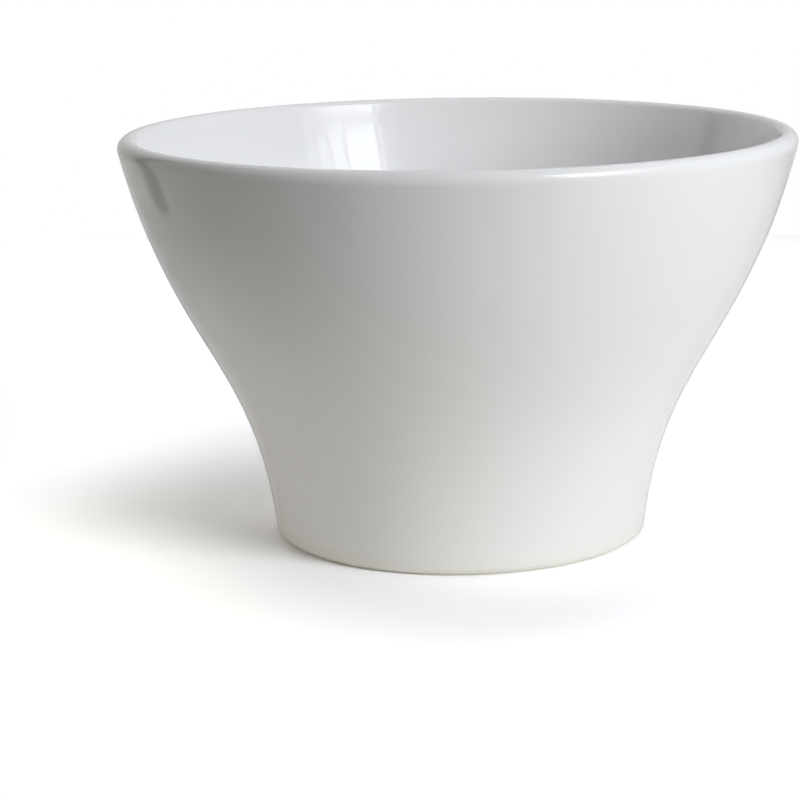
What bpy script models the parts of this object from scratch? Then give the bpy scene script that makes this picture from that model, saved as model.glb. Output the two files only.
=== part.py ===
"""Footed ceramic bowl: a turned clay body, the glaze coat over it and the glaze under its foot."""

from math import cos, pi, radians, sin, tan

import bpy
import numpy as np

MM = 0.001

# Finished outside, measured over the glaze
RIM_RADIUS = 130.0 * MM
HEIGHT = 157.4 * MM
FOOT_RADIUS = 72.6 * MM
GLAZE_LINE = 1.3 * MM

# The S-shaped wall is one Bezier curve: its lean from upright and its pull at each end
FOOT_LEAN = radians(6.5)
FOOT_PULL = 70.8 * MM
RIM_LEAN = radians(13.9)
RIM_PULL = 80.1 * MM

# The lip is rounded more on its outside, and its two rounds set the wall at the rim
LIP_OUTER_ROUND = 4.2 * MM
LIP_INNER_ROUND = 2.8 * MM
FOOT_WALL = 8.0 * MM

# Inside floor
FLOOR_THICKNESS = 8.5 * MM
CORNER_HEIGHT = 26.0 * MM

# Bare foot ring and the recess inside it
FOOT_EDGE_ROUND = 0.9 * MM
FOOT_FLAT = 5.0 * MM
FOOT_INNER_ROUND = 1.2 * MM
RECESS_DEPTH = 3.5 * MM
RECESS_FILLET = 1.2 * MM

# Glaze layer and its fit on the clay
GLAZE = 0.5 * MM
GLAZE_GAP = 0.3 * MM
CLAY_SET_IN = GLAZE + GLAZE_GAP

# Facets
TURN_STEPS = 60
WALL_STEPS = 11
LIP_STEPS = 3
CORNER_STEPS = 4
EDGE_STEPS = 3
SEARCH_STEPS = 220
AXIS_MERGE = 0.01 * MM

FLOOR_LEVEL = RECESS_DEPTH + FLOOR_THICKNESS
LIP_CREST = RIM_RADIUS - LIP_OUTER_ROUND
RIM_WALL = LIP_OUTER_ROUND + LIP_INNER_ROUND + (LIP_OUTER_ROUND - LIP_INNER_ROUND) * sin(RIM_LEAN)


def heading(lean):
    """Upward direction of a wall that leans outwards by this angle."""
    return np.array([sin(lean), cos(lean)])


def left_of(directions):
    """Unit vectors to the left of each direction of travel, where the clay lies."""
    directions = np.atleast_2d(directions)
    lengths = np.linalg.norm(directions, axis=1, keepdims=True)
    return np.column_stack([-directions[:, 1], directions[:, 0]]) / lengths


def arc(centre, radius, start, end, steps):
    """Points along an arc in the (radius, height) plane."""
    angles = np.linspace(start, end, steps + 1)
    return np.array(centre) + radius * np.column_stack([np.cos(angles), np.sin(angles)])


def arc_headings(start, end, steps):
    """Directions of travel along that arc."""
    angles = np.linspace(start, end, steps + 1)
    return np.sign(end - start) * np.column_stack([-np.sin(angles), np.cos(angles)])


def outer_wall(t):
    """Points and directions of the outer wall, from the glaze line (t = 0) up to the lip (t = 1)."""
    t = np.asarray(t)[:, None]
    low = np.array([FOOT_RADIUS, GLAZE_LINE])
    lip_centre = np.array([LIP_CREST, HEIGHT - LIP_OUTER_ROUND])
    high = lip_centre + LIP_OUTER_ROUND * np.array([cos(RIM_LEAN), -sin(RIM_LEAN)])
    low_pull = low + FOOT_PULL * heading(FOOT_LEAN)
    high_pull = high - RIM_PULL * heading(RIM_LEAN)
    s = 1 - t
    points = s**3 * low + 3 * s**2 * t * low_pull + 3 * s * t**2 * high_pull + t**3 * high
    slopes = s**2 * (low_pull - low) + 2 * s * t * (high_pull - low_pull) + t**2 * (high - high_pull)
    return points, slopes


def inner_wall(t):
    """Points and upward directions of the inner wall, set in from the outer one by the wall's thickness."""
    points, slopes = outer_wall(t)
    thickness = FOOT_WALL + (RIM_WALL - FOOT_WALL) * np.asarray(t)[:, None]
    return points + thickness * left_of(slopes), slopes


def finished_surface():
    """The glazed surface from the glaze line up the outside, over the lip and down to the floor's centre."""
    wall_t = np.linspace(0, 1, WALL_STEPS + 1)
    outside, outside_way = outer_wall(wall_t)

    outer_lip = (LIP_CREST, HEIGHT - LIP_OUTER_ROUND)
    inner_lip = (LIP_CREST, HEIGHT - LIP_INNER_ROUND)
    outer_turn = (-RIM_LEAN, pi / 2, LIP_STEPS)
    inner_turn = (pi / 2, pi - RIM_LEAN, LIP_STEPS)

    # The inner wall stops where the round of the floor's corner takes over
    dense_t = np.linspace(0, 1, SEARCH_STEPS)
    corner_t = np.interp(FLOOR_LEVEL + CORNER_HEIGHT, inner_wall(dense_t)[0][:, 1], dense_t)
    inner_steps = max(1, round((1 - corner_t) * WALL_STEPS))
    inside, inside_way = inner_wall(np.linspace(1, corner_t, inner_steps + 1))

    # An arc that leaves the wall and lands flat on the floor
    corner_lean = np.arctan2(*inside_way[-1])
    wall_run = (inside[-1, 1] - FLOOR_LEVEL) / cos(corner_lean)
    corner_radius = wall_run / tan((pi / 2 - corner_lean) / 2)
    floor_radius = inside[-1, 0] - wall_run * sin(corner_lean) - wall_run
    corner_turn = (-corner_lean, -pi / 2, CORNER_STEPS)
    corner = arc((floor_radius, FLOOR_LEVEL + corner_radius), corner_radius, *corner_turn)

    points = np.concatenate([
        outside,
        arc(outer_lip, LIP_OUTER_ROUND, *outer_turn)[1:],
        arc(inner_lip, LIP_INNER_ROUND, *inner_turn)[1:],
        inside,
        corner[1:],
        [(0.0, FLOOR_LEVEL)],
    ])
    ways = np.concatenate([
        outside_way,
        arc_headings(*outer_turn)[1:],
        arc_headings(*inner_turn)[1:],
        -inside_way,
        arc_headings(*corner_turn)[1:],
        [(-1.0, 0.0)],
    ])
    return points, ways


def skin(depth):
    """The finished surface moved into the clay by this depth, run from the floor's centre outwards."""
    points, ways = finished_surface()
    return (points + depth * left_of(ways))[::-1]


def glaze_coat_profile():
    """The coat's visible face, its rolled lower edge and its back."""
    face = skin(0.0)
    back = skin(GLAZE)[::-1]
    edge_centre = (face[-1] + back[0]) / 2
    edge = arc(edge_centre, GLAZE / 2, -FOOT_LEAN, -FOOT_LEAN - pi, EDGE_STEPS)
    return np.concatenate([face[:-1], edge, back[1:]])


def flat_outer_radius():
    """Radius at which the foot's outer edge round meets the flat that the bowl stands on."""
    glaze_line_radius = FOOT_RADIUS - CLAY_SET_IN * cos(FOOT_LEAN)
    glaze_line_level = GLAZE_LINE + CLAY_SET_IN * sin(FOOT_LEAN)
    wall_radius = glaze_line_radius - (glaze_line_level - FOOT_EDGE_ROUND) * tan(FOOT_LEAN)
    return wall_radius - FOOT_EDGE_ROUND / cos(FOOT_LEAN)


def recess_radius():
    return flat_outer_radius() - FOOT_FLAT - FOOT_INNER_ROUND


def bowl_body_profile():
    """The clay under the coat, then the bare foot ring and the recess inside it."""
    flat_outer = flat_outer_radius()
    flat_inner = flat_outer - FOOT_FLAT
    ceiling_edge = recess_radius() - RECESS_FILLET
    return np.concatenate([
        skin(CLAY_SET_IN),
        arc((flat_outer, FOOT_EDGE_ROUND), FOOT_EDGE_ROUND, -FOOT_LEAN, -pi / 2, EDGE_STEPS),
        arc((flat_inner, FOOT_INNER_ROUND), FOOT_INNER_ROUND, -pi / 2, -pi, EDGE_STEPS),
        arc((ceiling_edge, RECESS_DEPTH - RECESS_FILLET), RECESS_FILLET, 0, pi / 2, EDGE_STEPS),
        [(0.0, RECESS_DEPTH)],
    ])


def base_glaze_profile():
    """A disc of glaze with a rolled edge, on the flat ceiling of the recess."""
    top = RECESS_DEPTH - GLAZE_GAP
    edge_radius = recess_radius() - RECESS_FILLET - GLAZE / 2
    edge = arc((edge_radius, top - GLAZE / 2), GLAZE / 2, pi / 2, -pi / 2, EDGE_STEPS)
    return np.concatenate([[(0.0, top)], edge, [(0.0, top - GLAZE)]])


def make_material(name, color, roughness):
    material = bpy.data.materials.new(name)
    material.use_nodes = True
    shader = material.node_tree.nodes["Principled BSDF"]
    shader.inputs["Base Color"].default_value = (*color, 1.0)
    shader.inputs["Roughness"].default_value = roughness
    shader.inputs["Metallic"].default_value = 0.0
    material.diffuse_color = (*color, 1.0)
    return material


def turn(name, profile, material, collection):
    """Spin a (radius, height) profile about the bowl's upright axis."""
    corners = [(radius, 0.0, height) for radius, height in profile]
    edges = [(i, i + 1) for i in range(len(corners) - 1)]
    mesh = bpy.data.meshes.new(name)
    mesh.from_pydata(corners, edges, [])
    mesh.materials.append(material)
    piece = bpy.data.objects.new(name, mesh)
    collection.objects.link(piece)
    screw = piece.modifiers.new("turn", "SCREW")
    screw.axis = "Z"
    screw.angle = 2 * pi
    screw.steps = TURN_STEPS
    screw.render_steps = TURN_STEPS
    screw.use_merge_vertices = True
    screw.merge_threshold = AXIS_MERGE
    screw.use_smooth_shade = True
    return piece


def main():
    for old in list(bpy.data.objects):
        bpy.data.objects.remove(old)
    collection = bpy.data.collections.new("footed_bowl")
    bpy.context.scene.collection.children.link(collection)
    clay = make_material("fired_clay", (0.72, 0.66, 0.56), 0.75)
    white_glaze = make_material("white_glaze", (0.86, 0.86, 0.85), 0.12)
    foot_glaze = make_material("foot_glaze", (0.84, 0.83, 0.81), 0.2)
    turn("bowl_body", bowl_body_profile(), clay, collection)
    turn("glaze_coat", glaze_coat_profile(), white_glaze, collection)
    turn("base_glaze", base_glaze_profile(), foot_glaze, collection)


main()
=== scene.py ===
"""Looks for the footed bowl: white glaze, a bare clay foot, and a plain white studio."""

from math import cos, pi, radians, sin, tan

import bpy
import numpy as np
from mathutils import Matrix, Vector


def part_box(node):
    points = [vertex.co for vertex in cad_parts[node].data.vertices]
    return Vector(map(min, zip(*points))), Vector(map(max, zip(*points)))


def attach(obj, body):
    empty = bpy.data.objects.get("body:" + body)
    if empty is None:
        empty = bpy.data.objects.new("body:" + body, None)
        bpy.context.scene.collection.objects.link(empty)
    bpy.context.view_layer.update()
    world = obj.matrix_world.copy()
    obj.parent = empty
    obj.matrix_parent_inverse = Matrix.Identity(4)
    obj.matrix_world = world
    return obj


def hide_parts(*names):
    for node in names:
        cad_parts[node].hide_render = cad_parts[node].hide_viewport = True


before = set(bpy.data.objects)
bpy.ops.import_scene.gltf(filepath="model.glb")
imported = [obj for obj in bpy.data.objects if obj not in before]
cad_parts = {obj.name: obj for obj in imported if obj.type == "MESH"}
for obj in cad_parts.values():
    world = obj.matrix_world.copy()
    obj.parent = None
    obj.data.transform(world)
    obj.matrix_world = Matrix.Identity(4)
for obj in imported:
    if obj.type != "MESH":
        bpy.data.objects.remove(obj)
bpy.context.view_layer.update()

MM = 0.001

# Finished outside, measured over the glaze; the rim and the height are the CAD model's own
RIM_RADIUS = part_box("glaze_coat")[1].x
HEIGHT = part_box("glaze_coat")[1].z
FOOT_RADIUS = 72.6 * MM
FOOT_LEVEL = 1.3 * MM

# The S-shaped wall: its lean from upright and its pull at each end
FOOT_LEAN = radians(6.5)
FOOT_PULL = 70.8 * MM
RIM_LEAN = radians(13.9)
RIM_PULL = 80.1 * MM

# The wall tucks in under itself in a small round, down to the glaze line
GLAZE_LINE = 0.75 * MM
TUCK_ROUND = 3.0 * MM
TUCK_TURN = radians(60)

# Lip, wall and inside floor
LIP_OUTER_ROUND = 4.2 * MM
LIP_INNER_ROUND = 2.8 * MM
FOOT_WALL = 8.0 * MM
FLOOR_THICKNESS = 8.5 * MM
CORNER_HEIGHT = 26.0 * MM

# Bare foot ring and the recess inside it
FOOT_EDGE_ROUND = 0.9 * MM
FOOT_FLAT = 4.0 * MM
FOOT_INNER_ROUND = 1.2 * MM
RECESS_DEPTH = 3.5 * MM
RECESS_FILLET = 1.2 * MM

# Glaze layer and its fit on the clay
GLAZE = 0.5 * MM
GLAZE_GAP = 0.3 * MM
CLAY_SET_IN = GLAZE + GLAZE_GAP

# Fineness of the turned surfaces
TURN_STEPS = 240
WALL_STEPS = 48
LIP_STEPS = 12
CORNER_STEPS = 14
TUCK_STEPS = 10
EDGE_STEPS = 6
FLOOR_STEPS = 10
SEARCH_STEPS = 400

# Camera: where it stands, where it looks, its lens and sensor in millimetres, and its clipping
CAMERA_PLACE = Vector((0.0, -0.955, 0.26226))
CAMERA_PITCH = radians(12.46)
CAMERA_YAW = radians(-1.3964)
CAMERA_ROLL = radians(-0.8571)
CAMERA_LENS = 111.867
CAMERA_SENSOR = 36.0
CAMERA_CLIP = (0.01, 20.0)

# Colours
GLAZE_COOL = (0.835, 0.842, 0.848)
GLAZE_WARM = (0.850, 0.845, 0.832)
GLAZE_CREAM = (0.835, 0.815, 0.770)
GLAZE_THIN = (0.800, 0.795, 0.780)
# Painted highlight: a paler glaze colour in a thin band along the bead at the glaze line
GLAZE_BEAD_HIGHLIGHT = (0.930, 0.930, 0.920)
SPECK = (0.500, 0.450, 0.380)
CLAY_LIGHT = (0.850, 0.825, 0.765)
CLAY_DARK = (0.750, 0.715, 0.640)
GROG = (0.450, 0.380, 0.300)

# White glaze: its mottle, its thin lip, the cream above the glaze line, and a painted highlight on the
# bead just above it
MOTTLE_SIZE = 60 * MM
LIP_THIN_DEPTH = 2.5 * MM
LIP_THIN_SHARE = 0.35
CREAM_HEIGHT = 9 * MM
CREAM_SHARE = 0.6
BEAD_HIGHLIGHT_FADE_START = 0.6 * MM
BEAD_HIGHLIGHT_FADE_END = 1.6 * MM
BEAD_HIGHLIGHT_SHARE = 0.9

# White glaze: its specks by spacing, radius and share, and its gloss and relief
GLAZE_SPECKS = (14 * MM, 0.35 * MM, 0.05)
GLAZE_SPECK_STRENGTH = 0.15
GLOSS_PATCH_SIZE = 25 * MM
GLAZE_ROUGHNESS = (0.05, 0.09)
GLAZE_IOR = 1.5
RIPPLE_SIZE = 35 * MM
RIPPLE_DETAIL = 1.0
RIPPLE_DEPTH = 0.12 * MM
FINE_RELIEF_SIZE = 2.5 * MM
FINE_RELIEF_DEPTH = 0.002 * MM

# Bare clay: its grain, its patches and its specks of grog
GRAIN_SIZE = 0.6 * MM
GRAIN_DETAIL = 6.0
GRAIN_DEPTH = 0.05 * MM
CLAY_PATCH_SIZE = 20 * MM
CLAY_ROUGHNESS = (0.75, 0.95)
GROG_SPECKS = (2.5 * MM, 0.18 * MM, 0.3)
GROG_STRENGTH = 0.6

# Glaze under the foot: its mottle, specks, gloss and relief
FOOT_MOTTLE_SIZE = 18 * MM
FOOT_MOTTLE_DETAIL = 3.0
FOOT_SPECKS = (9 * MM, 0.4 * MM, 0.15)
FOOT_SPECK_STRENGTH = 0.5
FOOT_GLOSS_PATCH_SIZE = 8 * MM
FOOT_ROUGHNESS = (0.12, 0.24)
FOOT_RELIEF_SIZE = 3 * MM
FOOT_RELIEF_DEPTH = 0.015 * MM

# The part of the noise's range that a ramp uses
NOISE_SPAN = (0.3, 0.7)

# A speck is solid up to this share of its radius, and this share of the specks has full strength
SPECK_CORE = 0.5
SPECK_FULL = 0.8

# White table: its corners, its bounce of light near the foot and far off (painted light, brighter near
# the foot), and its look in reflections
TABLE_CORNERS = [(-0.38, -0.056), (-0.119, -0.30), (0.90, -0.30), (0.90, 0.75), (-0.38, 0.75)]
BOUNCE_REACH = (0.12, 0.34)
BOUNCE_NEAR_PAINTED_LIGHT = (0.970, 0.950, 0.880)
BOUNCE_FAR = (0.605, 0.600, 0.590)
TABLE_REFLECTED = (1.000, 0.995, 0.985)

# The table in the picture: its white rises from near to far across an oval around the bowl, so the
# smaller lift near the bowl paints shade
SEEN_MIDDLE = (0.006, 0.006, 0.0)
SEEN_TURN = radians(-65)
SEEN_STRETCH = (1.32, 0.92, 1.0)
SEEN_REACH = (0.09, 0.19)
SEEN_NEAR_PAINTED_SHADE = (1.335, 1.335, 1.345)
SEEN_FAR = (2.020, 2.005, 1.975)

# Room around the table: as soft light, in reflections and in the picture, where 1 shows as white
ROOM_FILL = (0.020, 0.020, 0.020)
ROOM_REFLECTED = (0.600, 0.600, 0.590)
ROOM_SEEN = (1.000, 1.000, 1.000)

# Colours of the lamps
WINDOW_LIGHT = (0.980, 1.000, 1.040)
SKY_LIGHT = (0.970, 1.000, 1.160)
PLAIN_LIGHT = (0.980, 1.000, 1.025)
WARM_LIGHT = (1.050, 1.000, 0.930)
AMBER_LIGHT = (1.080, 1.000, 0.840)

# Panes of a window with fading edges, which make the highlights only; values as add_softbox takes them
WINDOW_PANES = {
    "edge_1": (radians(26.8), radians(40.25), 1.0, 0.043, 0.380, 0.5, WINDOW_LIGHT),
    "edge_2": (radians(29.5), radians(40.25), 1.0, 0.029, 0.380, 1.0, WINDOW_LIGHT),
    "edge_3": (radians(31.7), radians(40.25), 1.0, 0.029, 0.380, 1.6, WINDOW_LIGHT),
    "edge_4": (radians(33.9), radians(40.25), 1.0, 0.029, 0.380, 3.6, WINDOW_LIGHT),
    "pane_1": (radians(42.7), radians(40.25), 1.0, 0.206, 0.380, 6.4, WINDOW_LIGHT),
    "pane_2": (radians(53.9), radians(39.6), 1.0, 0.094, 0.403, 4.8, WINDOW_LIGHT),
    "pane_3": (radians(60.4), radians(39.6), 1.0, 0.081, 0.403, 3.2, WINDOW_LIGHT),
    "pane_4": (radians(66.4), radians(39.6), 1.0, 0.081, 0.403, 2.0, WINDOW_LIGHT),
    "pane_5": (radians(73.9), radians(39.6), 1.0, 0.121, 0.403, 0.9, WINDOW_LIGHT),
    "sill_1": (radians(43), radians(25.75), 1.0, 0.280, 0.140, 3.2, WINDOW_LIGHT),
    "sill_2": (radians(55.8), radians(25), 1.0, 0.127, 0.112, 2.2, WINDOW_LIGHT),
    "sill_3": (radians(63.8), radians(25), 1.0, 0.127, 0.112, 1.1, WINDOW_LIGHT),
}

# Softboxes that make the soft light only, in the same order of values
FILL_LAMPS = {
    "right_fill": (radians(45), radians(22), 1.0, 0.60, 0.40, 6.2, PLAIN_LIGHT),
    "right_core_fill": (radians(50.5), radians(22), 1.0, 0.40, 0.45, 4.5, PLAIN_LIGHT),
    "front_fill": (radians(-30), radians(3), 1.2, 1.20, 0.20, 0.8, WARM_LIGHT),
    "left_fill": (radians(-102), radians(3), 1.2, 1.40, 0.20, 2.2, WARM_LIGHT),
    "back_left_fill": (radians(-150), radians(10), 1.2, 1.00, 0.40, 1.4, WARM_LIGHT),
    "back_fill": (radians(180), radians(45), 1.0, 1.00, 0.40, 1.8, PLAIN_LIGHT),
    "top_back_fill": (radians(135), radians(66), 0.8, 0.40, 0.40, 3.0, SKY_LIGHT),
    "top_left_fill": (radians(-90), radians(66), 0.8, 0.40, 0.40, 0.7, AMBER_LIGHT),
    "top_front_fill": (radians(0), radians(60), 0.8, 0.40, 0.40, 0.8, PLAIN_LIGHT),
}

# Low strip with a narrow beam, aimed at this height on the foot
FOOT_FILL = (radians(-50), radians(4), 0.7, 0.40, 0.08, 0.14, WARM_LIGHT)
FOOT_FILL_AIM = 30 * MM
FOOT_FILL_SPREAD = radians(26)

# Painted reflection: a dark sheet seen only in the wall's left and the inside's right; it fades into
# the room at its far side
FLAG_NEAR = (-0.713, 0.353)
FLAG_FAR = (-0.589, 0.497)
FLAG_FADE = (0.08, 0.19)
FLAG_STRETCH = (1.0, 1.0, 1000.0)
FLAG_LOW = -0.25
FLAG_TOP = 1.20
FLAG_DARK_REFLECTION = (0.020, 0.020, 0.020)

FLOOR_LEVEL = RECESS_DEPTH + FLOOR_THICKNESS
LIP_CREST = RIM_RADIUS - LIP_OUTER_ROUND
RIM_WALL = LIP_OUTER_ROUND + LIP_INNER_ROUND + (LIP_OUTER_ROUND - LIP_INNER_ROUND) * sin(RIM_LEAN)


# Shape of the bowl


def heading(lean):
    """Upward direction of a wall that leans outwards by this angle."""
    return np.array([sin(lean), cos(lean)])


def left_of(directions):
    """Unit vectors to the left of each direction of travel, where the clay lies."""
    directions = np.atleast_2d(directions)
    lengths = np.linalg.norm(directions, axis=1, keepdims=True)
    return np.column_stack([-directions[:, 1], directions[:, 0]]) / lengths


def arc(centre, radius, start, end, steps):
    """Points along an arc in the (radius, height) plane."""
    angles = np.linspace(start, end, steps + 1)
    return np.array(centre) + radius * np.column_stack([np.cos(angles), np.sin(angles)])


def arc_headings(start, end, steps):
    """Directions of travel along that arc."""
    angles = np.linspace(start, end, steps + 1)
    return np.sign(end - start) * np.column_stack([-np.sin(angles), np.cos(angles)])


def outer_wall(t):
    """Points and directions of the outer wall, from the foot (t = 0) up to the lip (t = 1)."""
    t = np.asarray(t)[:, None]
    low = np.array([FOOT_RADIUS, FOOT_LEVEL])
    lip_centre = np.array([LIP_CREST, HEIGHT - LIP_OUTER_ROUND])
    high = lip_centre + LIP_OUTER_ROUND * np.array([cos(RIM_LEAN), -sin(RIM_LEAN)])
    low_pull = low + FOOT_PULL * heading(FOOT_LEAN)
    high_pull = high - RIM_PULL * heading(RIM_LEAN)
    s = 1 - t
    points = s**3 * low + 3 * s**2 * t * low_pull + 3 * s * t**2 * high_pull + t**3 * high
    slopes = s**2 * (low_pull - low) + 2 * s * t * (high_pull - low_pull) + t**2 * (high - high_pull)
    return points, slopes


def inner_wall(t):
    """Points and upward directions of the inner wall, a wall's thickness in from the outer one."""
    points, slopes = outer_wall(t)
    thickness = FOOT_WALL + (RIM_WALL - FOOT_WALL) * np.asarray(t)[:, None]
    return points + thickness * left_of(slopes), slopes


def finished_surface():
    """The glazed surface, from the glaze line up over the lip and down to the floor's centre."""
    dense_t = np.linspace(0, 1, SEARCH_STEPS)

    # The outer wall starts on top of the round that tucks in under it
    tuck_height = TUCK_ROUND * (sin(FOOT_LEAN + TUCK_TURN) - sin(FOOT_LEAN))
    tuck_t = np.interp(GLAZE_LINE + tuck_height, outer_wall(dense_t)[0][:, 1], dense_t)
    outside, outside_way = outer_wall(np.linspace(tuck_t, 1, WALL_STEPS + 1))
    tuck_centre = outside[0] + TUCK_ROUND * left_of(outside_way[0])[0]
    tuck_lean = np.arctan2(*outside_way[0])
    tuck_turn = (-tuck_lean - TUCK_TURN, -tuck_lean, TUCK_STEPS)

    outer_lip = (LIP_CREST, HEIGHT - LIP_OUTER_ROUND)
    inner_lip = (LIP_CREST, HEIGHT - LIP_INNER_ROUND)
    outer_turn = (-RIM_LEAN, pi / 2, LIP_STEPS)
    inner_turn = (pi / 2, pi - RIM_LEAN, LIP_STEPS)

    # The inner wall stops where the round of the floor's corner takes over
    corner_t = np.interp(FLOOR_LEVEL + CORNER_HEIGHT, inner_wall(dense_t)[0][:, 1], dense_t)
    inside, inside_way = inner_wall(np.linspace(1, corner_t, WALL_STEPS + 1))

    # An arc that leaves the wall and lands flat on the floor
    corner_lean = np.arctan2(*inside_way[-1])
    wall_run = (inside[-1, 1] - FLOOR_LEVEL) / cos(corner_lean)
    corner_radius = wall_run / tan((pi / 2 - corner_lean) / 2)
    floor_radius = inside[-1, 0] - wall_run * sin(corner_lean) - wall_run
    corner_turn = (-corner_lean, -pi / 2, CORNER_STEPS)
    corner = arc((floor_radius, FLOOR_LEVEL + corner_radius), corner_radius, *corner_turn)
    floor_radii = np.linspace(floor_radius, 0, FLOOR_STEPS + 1)
    floor = np.column_stack([floor_radii, np.full(FLOOR_STEPS + 1, FLOOR_LEVEL)])

    points = [
        arc(tuck_centre, TUCK_ROUND, *tuck_turn)[:-1],
        outside,
        arc(outer_lip, LIP_OUTER_ROUND, *outer_turn)[1:],
        arc(inner_lip, LIP_INNER_ROUND, *inner_turn)[1:],
        inside[1:],
        corner[1:],
        floor[1:],
    ]
    ways = [
        arc_headings(*tuck_turn)[:-1],
        outside_way,
        arc_headings(*outer_turn)[1:],
        arc_headings(*inner_turn)[1:],
        -inside_way[1:],
        arc_headings(*corner_turn)[1:],
        np.tile([-1.0, 0.0], (FLOOR_STEPS, 1)),
    ]
    return np.concatenate(points), np.concatenate(ways)


def skin(depth):
    """The finished surface moved into the clay by this depth, run from the floor's centre outwards."""
    points, ways = finished_surface()
    return (points + depth * left_of(ways))[::-1]


def glaze_coat_profile():
    """The coat's visible face, its rolled lower edge and its back."""
    face = skin(0.0)
    back = skin(GLAZE)[::-1]
    edge_centre = (face[-1] + back[0]) / 2
    across = face[-1] - back[0]
    edge_angle = np.arctan2(across[1], across[0])
    edge = arc(edge_centre, GLAZE / 2, edge_angle, edge_angle - pi, EDGE_STEPS)
    return np.concatenate([face[:-1], edge, back[1:]])


def flat_outer_radius():
    """Radius at which the foot's outer edge round meets the flat that the bowl stands on."""
    return skin(CLAY_SET_IN)[-1, 0] - FOOT_EDGE_ROUND


def recess_radius():
    return flat_outer_radius() - FOOT_FLAT - FOOT_INNER_ROUND


def bowl_body_profile():
    """The clay under the coat, then the bare foot ring and the recess inside it."""
    flat_outer = flat_outer_radius()
    flat_inner = flat_outer - FOOT_FLAT
    ceiling_edge = recess_radius() - RECESS_FILLET
    return np.concatenate([
        skin(CLAY_SET_IN),
        arc((flat_outer, FOOT_EDGE_ROUND), FOOT_EDGE_ROUND, 0, -pi / 2, EDGE_STEPS),
        arc((flat_inner, FOOT_INNER_ROUND), FOOT_INNER_ROUND, -pi / 2, -pi, EDGE_STEPS),
        arc((ceiling_edge, RECESS_DEPTH - RECESS_FILLET), RECESS_FILLET, 0, pi / 2, EDGE_STEPS),
        [(0.0, RECESS_DEPTH)],
    ])


def base_glaze_profile():
    """A disc of glaze with a rolled edge, on the flat ceiling of the recess."""
    top = RECESS_DEPTH - GLAZE_GAP
    edge_radius = recess_radius() - RECESS_FILLET - GLAZE / 2
    edge = arc((edge_radius, top - GLAZE / 2), GLAZE / 2, pi / 2, -pi / 2, EDGE_STEPS)
    return np.concatenate([[(0.0, top)], edge, [(0.0, top - GLAZE)]])


def turned(name, profile, material):
    """Spin a closed (radius, height) profile, whose two ends lie on the axis, into a smooth mesh."""
    angles = np.arange(TURN_STEPS) * 2 * pi / TURN_STEPS
    rings = profile[1:-1]
    ring_points = np.empty((len(rings), TURN_STEPS, 3))
    ring_points[:, :, 0] = rings[:, :1] * np.cos(angles)
    ring_points[:, :, 1] = rings[:, :1] * np.sin(angles)
    ring_points[:, :, 2] = rings[:, 1:]
    ends = [(0.0, 0.0, profile[0, 1]), (0.0, 0.0, profile[-1, 1])]
    corners = np.concatenate([ring_points.reshape(-1, 3), ends])
    first_end = len(corners) - 2
    last_end = len(corners) - 1

    faces = []
    last_ring = (len(rings) - 1) * TURN_STEPS
    for i in range(TURN_STEPS):
        j = (i + 1) % TURN_STEPS
        faces.append((first_end, i, j))
        faces.append((last_ring + j, last_ring + i, last_end))
        for row in range(0, last_ring, TURN_STEPS):
            faces.append((row + i, row + TURN_STEPS + i, row + TURN_STEPS + j, row + j))

    mesh = bpy.data.meshes.new(name)
    mesh.from_pydata(corners.tolist(), [], faces)
    mesh.polygons.foreach_set("use_smooth", [True] * len(mesh.polygons))
    mesh.materials.append(material)
    piece = bpy.data.objects.new(name, mesh)
    bpy.context.scene.collection.objects.link(piece)
    return piece


# Materials


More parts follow.
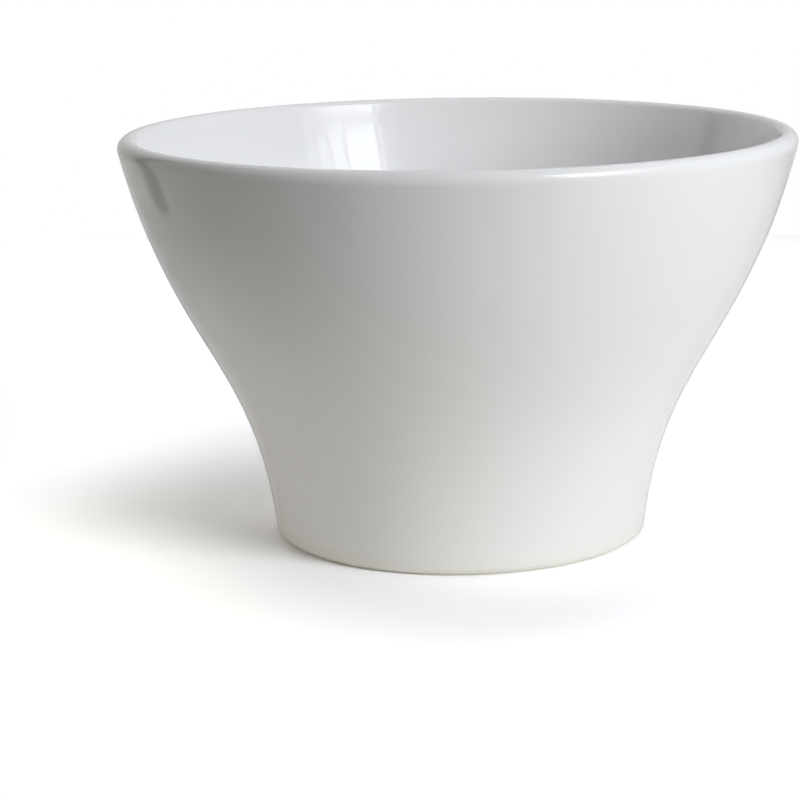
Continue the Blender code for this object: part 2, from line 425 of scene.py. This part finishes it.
class Graph:
    """Short ways to add nodes to a material or to the world."""

    def __init__(self, owner):
        owner.use_nodes = True
        self.owner = owner
        self.nodes = owner.node_tree.nodes
        self.links = owner.node_tree.links

    def feed(self, node, values):
        """Set or link each named input of a node."""
        for name, value in values.items():
            if isinstance(value, bpy.types.NodeSocket):
                self.links.new(value, node.inputs[name])
            else:
                node.inputs[name].default_value = value
        return node

    def place(self):
        """Position in metres from the object's origin."""
        return self.nodes.new("ShaderNodeTexCoord").outputs["Object"]

    def height(self, place):
        split = self.feed(self.nodes.new("ShaderNodeSeparateXYZ"), {"Vector": place})
        return split.outputs["Z"]

    def reach(self, place, middle=(0.0, 0.0, 0.0), turn=0.0, stretch=(1.0, 1.0, 1.0)):
        """Distance from a middle in metres, counted shorter along the stretched axes."""
        oval = self.nodes.new("ShaderNodeMapping")
        oval.vector_type = "TEXTURE"
        self.feed(oval, {"Vector": place, "Location": middle})
        self.feed(oval, {"Rotation": (0.0, 0.0, turn), "Scale": stretch})
        node = self.nodes.new("ShaderNodeVectorMath")
        node.operation = "LENGTH"
        self.links.new(oval.outputs["Vector"], node.inputs[0])
        return node.outputs["Value"]

    def noise(self, place, size, detail=2.0):
        """Soft noise whose blotches are about this wide in metres."""
        node = self.nodes.new("ShaderNodeTexNoise")
        self.feed(node, {"Vector": place, "Scale": 1.0 / size, "Detail": detail})
        return node.outputs["Fac"]

    def ramp(self, value, low, high, start=0.0, end=1.0):
        """Ease from start to end while the value goes from low to high."""
        node = self.nodes.new("ShaderNodeMapRange")
        node.interpolation_type = "SMOOTHSTEP"
        limits = {"From Min": low, "From Max": high, "To Min": start, "To Max": end}
        self.feed(node, {"Value": value, **limits})
        return node.outputs["Result"]

    def times(self, first, second):
        node = self.nodes.new("ShaderNodeMath")
        node.operation = "MULTIPLY"
        self.links.new(first, node.inputs[0])
        if isinstance(second, bpy.types.NodeSocket):
            self.links.new(second, node.inputs[1])
        else:
            node.inputs[1].default_value = second
        return node.outputs["Value"]

    def mix(self, factor, first, second):
        """Blend two colours."""
        node = self.nodes.new("ShaderNodeMix")
        node.data_type = "RGBA"
        self.links.new(factor, node.inputs["Factor"])
        for name, colour in (("A", first), ("B", second)):
            socket = [s for s in node.inputs if s.name == name and s.type == "RGBA"][0]
            if isinstance(colour, bpy.types.NodeSocket):
                self.links.new(colour, socket)
            else:
                socket.default_value = (*colour, 1.0)
        return [s for s in node.outputs if s.type == "RGBA"][0]

    def specks(self, place, spacing, radius, share):
        """Round dots of this radius, in a share of the cells of an uneven grid."""
        node = self.nodes.new("ShaderNodeTexVoronoi")
        self.feed(node, {"Vector": place, "Scale": 1.0 / spacing, "Randomness": 1.0})
        split = self.nodes.new("ShaderNodeSeparateColor")
        self.feed(split, {"Color": node.outputs["Color"]})
        core = SPECK_CORE * radius / spacing
        dot = self.ramp(node.outputs["Distance"], core, radius / spacing, 1.0, 0.0)
        chosen = self.ramp(split.outputs["Red"], 1.0 - share, 1.0 - SPECK_FULL * share)
        return self.times(dot, chosen)

    def bump(self, value, depth, normal=None):
        """Surface relief of this depth in metres."""
        node = self.nodes.new("ShaderNodeBump")
        self.feed(node, {"Height": value, "Distance": depth, "Strength": 1.0})
        if normal:
            self.links.new(normal, node.inputs["Normal"])
        return node.outputs["Normal"]

    def by_ray(self, bounced, reflected, seen):
        """One colour for light that bounces about, one for reflections and one for the picture."""
        rays = self.nodes.new("ShaderNodeLightPath").outputs
        colour = self.mix(rays["Is Glossy Ray"], bounced, reflected)
        return self.mix(rays["Is Camera Ray"], colour, seen)

    def surface(self, colour, roughness, normal):
        """Feed the material's shader, and give back the shader for its plain numbers."""
        links = {"Base Color": colour, "Roughness": roughness, "Normal": normal}
        return self.feed(self.nodes["Principled BSDF"], links)


def white_glaze_material():
    """Glossy white glaze: faintly mottled, thin over the lip and creamy at the foot, with a paler band
    that paints a highlight along the glaze line.
    """
    graph = Graph(bpy.data.materials.new("white_glaze"))
    place = graph.place()
    height = graph.height(place)
    colour = graph.mix(graph.noise(place, MOTTLE_SIZE), GLAZE_COOL, GLAZE_WARM)
    lip = graph.ramp(height, HEIGHT - LIP_THIN_DEPTH, HEIGHT, 0.0, LIP_THIN_SHARE)
    colour = graph.mix(lip, colour, GLAZE_THIN)
    gathered = graph.ramp(height, GLAZE_LINE, GLAZE_LINE + CREAM_HEIGHT, CREAM_SHARE, 0.0)
    colour = graph.mix(gathered, colour, GLAZE_CREAM)
    # Painted highlight: the glaze is paler in a thin band just above the glaze line
    bead_highlight_top = GLAZE_LINE + BEAD_HIGHLIGHT_FADE_END
    bead_highlight = graph.ramp(height, GLAZE_LINE + BEAD_HIGHLIGHT_FADE_START, bead_highlight_top, BEAD_HIGHLIGHT_SHARE, 0.0)
    colour = graph.mix(bead_highlight, colour, GLAZE_BEAD_HIGHLIGHT)
    specks = graph.specks(place, *GLAZE_SPECKS)
    colour = graph.mix(graph.times(specks, GLAZE_SPECK_STRENGTH), colour, SPECK)
    roughness = graph.ramp(graph.noise(place, GLOSS_PATCH_SIZE), *NOISE_SPAN, *GLAZE_ROUGHNESS)
    ripple = graph.bump(graph.noise(place, RIPPLE_SIZE, RIPPLE_DETAIL), RIPPLE_DEPTH)
    normal = graph.bump(graph.noise(place, FINE_RELIEF_SIZE), FINE_RELIEF_DEPTH, ripple)
    shader = graph.surface(colour, roughness, normal)
    shader.inputs["IOR"].default_value = GLAZE_IOR
    return graph.owner


def clay_material():
    """Bare, matt fired clay with a fine grain and small grog specks."""
    graph = Graph(bpy.data.materials.new("fired_clay"))
    place = graph.place()
    grain = graph.noise(place, GRAIN_SIZE, GRAIN_DETAIL)
    colour = graph.mix(graph.ramp(grain, *NOISE_SPAN), CLAY_DARK, CLAY_LIGHT)
    colour = graph.mix(graph.noise(place, CLAY_PATCH_SIZE), colour, CLAY_LIGHT)
    specks = graph.specks(place, *GROG_SPECKS)
    colour = graph.mix(graph.times(specks, GROG_STRENGTH), colour, GROG)
    roughness = graph.ramp(grain, *NOISE_SPAN, *CLAY_ROUGHNESS)
    normal = graph.bump(grain, GRAIN_DEPTH)
    graph.surface(colour, roughness, normal)
    return graph.owner


def foot_glaze_material():
    """The thinner glaze under the foot, through which the clay shows a little."""
    graph = Graph(bpy.data.materials.new("foot_glaze"))
    place = graph.place()
    mottle = graph.noise(place, FOOT_MOTTLE_SIZE, FOOT_MOTTLE_DETAIL)
    colour = graph.mix(mottle, GLAZE_CREAM, GLAZE_WARM)
    specks = graph.specks(place, *FOOT_SPECKS)
    colour = graph.mix(graph.times(specks, FOOT_SPECK_STRENGTH), colour, SPECK)
    roughness = graph.ramp(graph.noise(place, FOOT_GLOSS_PATCH_SIZE), *NOISE_SPAN, *FOOT_ROUGHNESS)
    normal = graph.bump(graph.noise(place, FOOT_RELIEF_SIZE), FOOT_RELIEF_DEPTH)
    graph.surface(colour, roughness, normal)
    return graph.owner


# Studio


def table_material():
    """Matt white that is lifted to paper white in the picture and still takes the bowl's shadow; a
    smaller lift near the bowl paints shade around it.
    """
    graph = Graph(bpy.data.materials.new("studio_table"))
    place = graph.place()
    # Painted light: the table bounces more, and warmer, light near the foot than far off, onto the
    # lower wall
    painted_light_reach = graph.reach(place)
    bounced = graph.mix(graph.ramp(painted_light_reach, *BOUNCE_REACH), BOUNCE_NEAR_PAINTED_LIGHT, BOUNCE_FAR)
    # Painted shade: in the picture the table is lifted less near the bowl than far off
    painted_shade_reach = graph.reach(place, SEEN_MIDDLE, SEEN_TURN, SEEN_STRETCH)
    seen = graph.mix(graph.ramp(painted_shade_reach, *SEEN_REACH), SEEN_NEAR_PAINTED_SHADE, SEEN_FAR)
    matt = graph.nodes.new("ShaderNodeBsdfDiffuse")
    graph.feed(matt, {"Color": graph.by_ray(bounced, TABLE_REFLECTED, seen)})
    graph.links.new(matt.outputs["BSDF"], graph.nodes["Material Output"].inputs["Surface"])
    return graph.owner


def flag_material():
    """Painted reflection: glows dark at the near side and as bright as the room at the far side,
    whatever the height.
    """
    graph = Graph(bpy.data.materials.new("studio_flag"))
    from_near = graph.reach(graph.place(), (*FLAG_NEAR, 0.0), 0.0, FLAG_STRETCH)
    fade = graph.ramp(from_near, *FLAG_FADE)
    glow = graph.nodes.new("ShaderNodeEmission")
    graph.feed(glow, {"Color": graph.mix(fade, FLAG_DARK_REFLECTION, ROOM_REFLECTED), "Strength": 1.0})
    graph.links.new(glow.outputs["Emission"], graph.nodes["Material Output"].inputs["Surface"])
    return graph.owner


def add_sheet(name, corners, material):
    """A flat sheet that belongs to the studio."""
    mesh = bpy.data.meshes.new(name)
    mesh.from_pydata(corners, [], [range(len(corners))])
    mesh.materials.append(material)
    sheet = bpy.data.objects.new(name, mesh)
    bpy.context.scene.collection.objects.link(sheet)
    return sheet


def add_table():
    add_sheet("floor", [(x, y, 0.0) for x, y in TABLE_CORNERS], table_material())


def add_flag():
    low_edge = [(*FLAG_NEAR, FLAG_LOW), (*FLAG_FAR, FLAG_LOW)]
    top_edge = [(*FLAG_FAR, FLAG_TOP), (*FLAG_NEAR, FLAG_TOP)]
    flag = add_sheet("flag", low_edge + top_edge, flag_material())
    # The sheet shows only in reflections, where it paints a dark streak
    flag.visible_camera = False
    flag.visible_diffuse = False
    flag.visible_shadow = False


def add_world():
    graph = Graph(bpy.data.worlds.new("studio"))
    light = graph.by_ray(ROOM_FILL, ROOM_REFLECTED, ROOM_SEEN)
    graph.feed(graph.nodes["Background"], {"Color": light, "Strength": 1.0})
    bpy.context.scene.world = graph.owner


def add_softbox(name, azimuth, elevation, distance, width, height, brightness, colour, aim=HEIGHT / 2):
    """A rectangular lamp that faces the bowl, turned from the front to the right by its azimuth."""
    data = bpy.data.lights.new(name, "AREA")
    data.shape = "RECTANGLE"
    data.size = width
    data.size_y = height
    # The power grows with the lamp's face, so that its brightness holds at any size
    data.energy = pi * width * height * brightness
    data.color = colour
    lamp = bpy.data.objects.new(name, data)
    bpy.context.scene.collection.objects.link(lamp)
    level = distance * cos(elevation)
    away = Vector((level * sin(azimuth), -level * cos(azimuth), distance * sin(elevation)))
    lamp.location = Vector((0.0, 0.0, aim)) + away
    lamp.rotation_euler = away.to_track_quat("Z", "Y").to_euler()
    lamp.visible_camera = False
    return lamp


def add_lamps():
    for name, setting in WINDOW_PANES.items():
        add_softbox(name, *setting).visible_diffuse = False
    for name, setting in FILL_LAMPS.items():
        add_softbox(name, *setting).visible_glossy = False
    foot_fill = add_softbox("foot_fill", *FOOT_FILL, FOOT_FILL_AIM)
    foot_fill.data.spread = FOOT_FILL_SPREAD
    foot_fill.visible_glossy = False


def add_camera():
    data = bpy.data.cameras.new("camera")
    data.sensor_width = CAMERA_SENSOR
    data.lens = CAMERA_LENS
    data.clip_start, data.clip_end = CAMERA_CLIP
    camera = bpy.data.objects.new("camera", data)
    bpy.context.scene.collection.objects.link(camera)
    turn = Matrix.Rotation(-CAMERA_YAW, 4, "Z")
    tilt = Matrix.Rotation(pi / 2 - CAMERA_PITCH, 4, "X")
    roll = Matrix.Rotation(CAMERA_ROLL, 4, "Z")
    camera.matrix_world = Matrix.Translation(CAMERA_PLACE) @ turn @ tilt @ roll
    bpy.context.scene.camera = camera


# The whole scene


def add_piece(node, profile, material):
    """A fine turned piece that stands for the CAD node of the same name."""
    piece = turned(node + "_fine", profile, material)
    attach(piece, "root")
    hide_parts(node)


def main():
    add_piece("glaze_coat", glaze_coat_profile(), white_glaze_material())
    add_piece("bowl_body", bowl_body_profile(), clay_material())
    add_piece("base_glaze", base_glaze_profile(), foot_glaze_material())
    add_table()
    add_flag()
    add_world()
    add_lamps()
    add_camera()
    bpy.context.scene.view_settings.view_transform = "Standard"


main()
